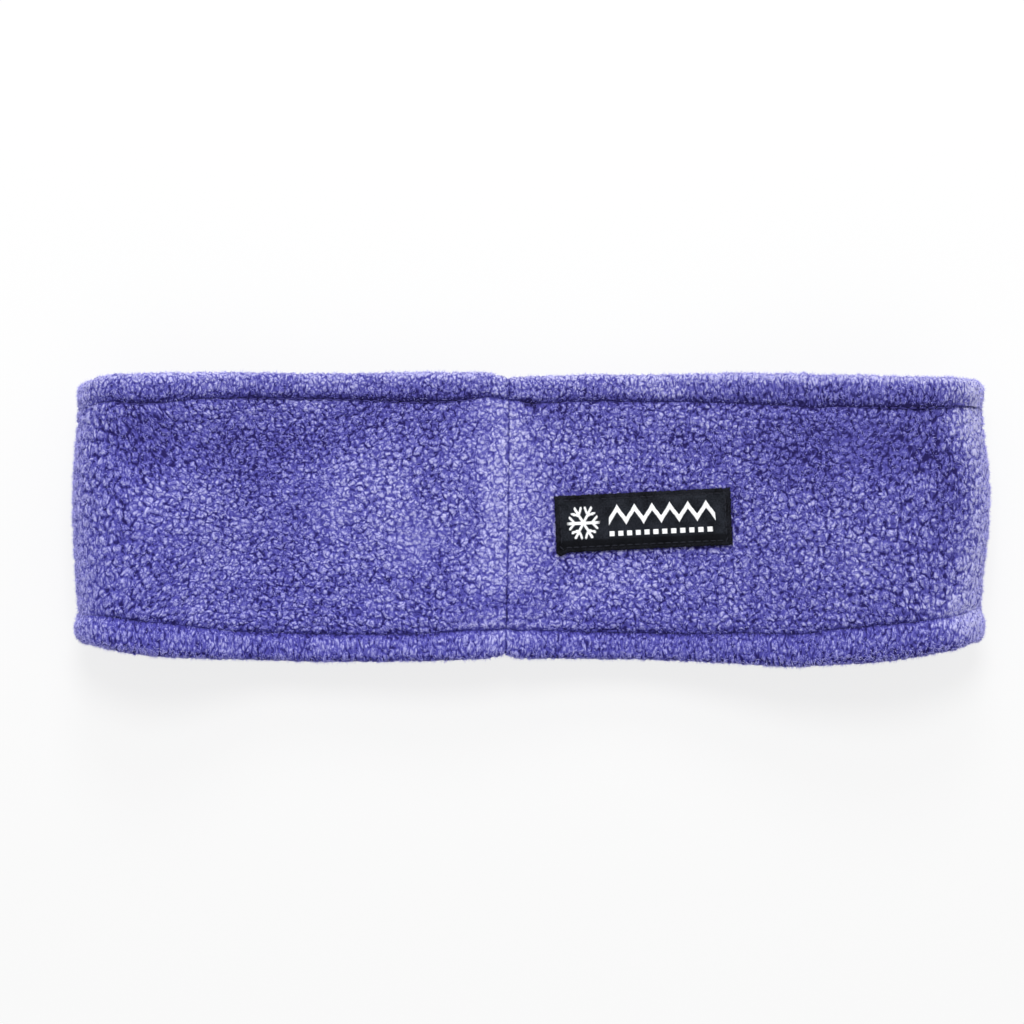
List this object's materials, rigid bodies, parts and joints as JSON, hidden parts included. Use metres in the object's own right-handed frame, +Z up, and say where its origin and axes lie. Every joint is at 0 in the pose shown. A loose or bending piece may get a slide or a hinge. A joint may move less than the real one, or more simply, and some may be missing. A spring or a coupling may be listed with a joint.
{
  "type": "ear warmer headband",
  "caption": "Wide loop of thick periwinkle fleece lying flat, with a centre seam, soft topstitched hems along both edges and a small dark woven label.",
  "frame": {"origin": "on the surface it lies on, in the middle of the band's outline seen from above", "axes": "+X along the flattened band from the left fold to the right fold as the label is read, +Y from the lower edge to the upper edge, +Z up from the surface"},
  "size_m": [0.2491, 0.0797, 0.0329],
  "materials": {
    "fleece": "deep matt pile with a soft sheen",
    "woven_label": "fine matt weave"
  },
  "bodies": {
    "root": {"band_panel": "fleece", "upper_hem": "fleece", "lower_hem": "fleece", "label": "woven_label"}
  },
  "joints": []
}
